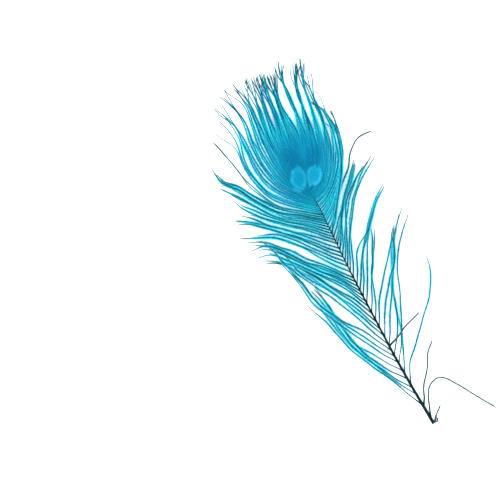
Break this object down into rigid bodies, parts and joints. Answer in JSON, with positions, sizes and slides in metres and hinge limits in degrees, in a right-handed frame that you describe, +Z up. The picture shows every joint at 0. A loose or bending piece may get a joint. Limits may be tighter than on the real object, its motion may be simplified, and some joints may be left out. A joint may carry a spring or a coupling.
{
  "type": "peacock feather",
  "caption": "Dyed turquoise peacock eye feather lying good side up: a thin dark shaft, loose locks of fine barbs down both sides, and a dense head round the eye.",
  "frame": {"origin": "on the surface that the feather lies on, under the middle of its footprint", "axes": "+Y along the shaft from the cut quill to the eye, +X to the right of the shaft seen from above, +Z up from the surface"},
  "size_m": [0.122, 0.2972, 0.0091],
  "materials": {
    "shaft_horn": "dark dyed horn with a soft gloss",
    "vane_barbs": "turquoise dyed barbs, darker at the root and pale along the fringe",
    "eye_barbs": "dense blue and turquoise dyed barbs with a sheen",
    "broken_barbs": "worn barbs, grey blue and almost bare"
  },
  "bodies": {
    "root": {"shaft": "shaft_horn", "right_lock_01": "broken_barbs", "right_lock_02": "broken_barbs", "right_lock_03": "vane_barbs", "right_lock_04": "vane_barbs", "right_lock_05": "vane_barbs", "right_lock_06": "vane_barbs", "right_lock_07": "vane_barbs", "right_lock_08": "vane_barbs", "right_lock_09": "vane_barbs", "right_lock_10": "vane_barbs", "right_lock_11": "vane_barbs", "right_lock_12": "vane_barbs", "right_lock_13": "vane_barbs", "right_lock_14": "vane_barbs", "right_lock_15": "vane_barbs", "left_lock_01": "vane_barbs", "left_lock_02": "vane_barbs", "left_lock_03": "vane_barbs", "left_lock_04": "vane_barbs", "left_lock_05": "vane_barbs", "left_lock_06": "vane_barbs", "left_lock_07": "vane_barbs", "left_lock_08": "vane_barbs", "left_lock_09": "vane_barbs", "left_lock_10": "vane_barbs", "left_lock_11": "vane_barbs", "left_lock_12": "vane_barbs", "left_lock_13": "vane_barbs", "eye_left_lock_01": "eye_barbs", "eye_left_lock_02": "eye_barbs", "eye_left_lock_03": "eye_barbs", "eye_left_lock_04": "eye_barbs", "eye_left_lock_05": "eye_barbs", "eye_left_lock_06": "eye_barbs", "eye_left_lock_07": "eye_barbs", "eye_left_lock_08": "eye_barbs", "eye_top_lock_01": "eye_barbs", "eye_top_lock_02": "eye_barbs", "eye_right_lock_01": "eye_barbs", "eye_right_lock_02": "eye_barbs", "eye_right_lock_03": "eye_barbs", "eye_right_lock_04": "eye_barbs", "eye_right_lock_05": "eye_barbs", "broken_barb_01": "broken_barbs", "broken_barb_02": "broken_barbs"}
  },
  "joints": []
}
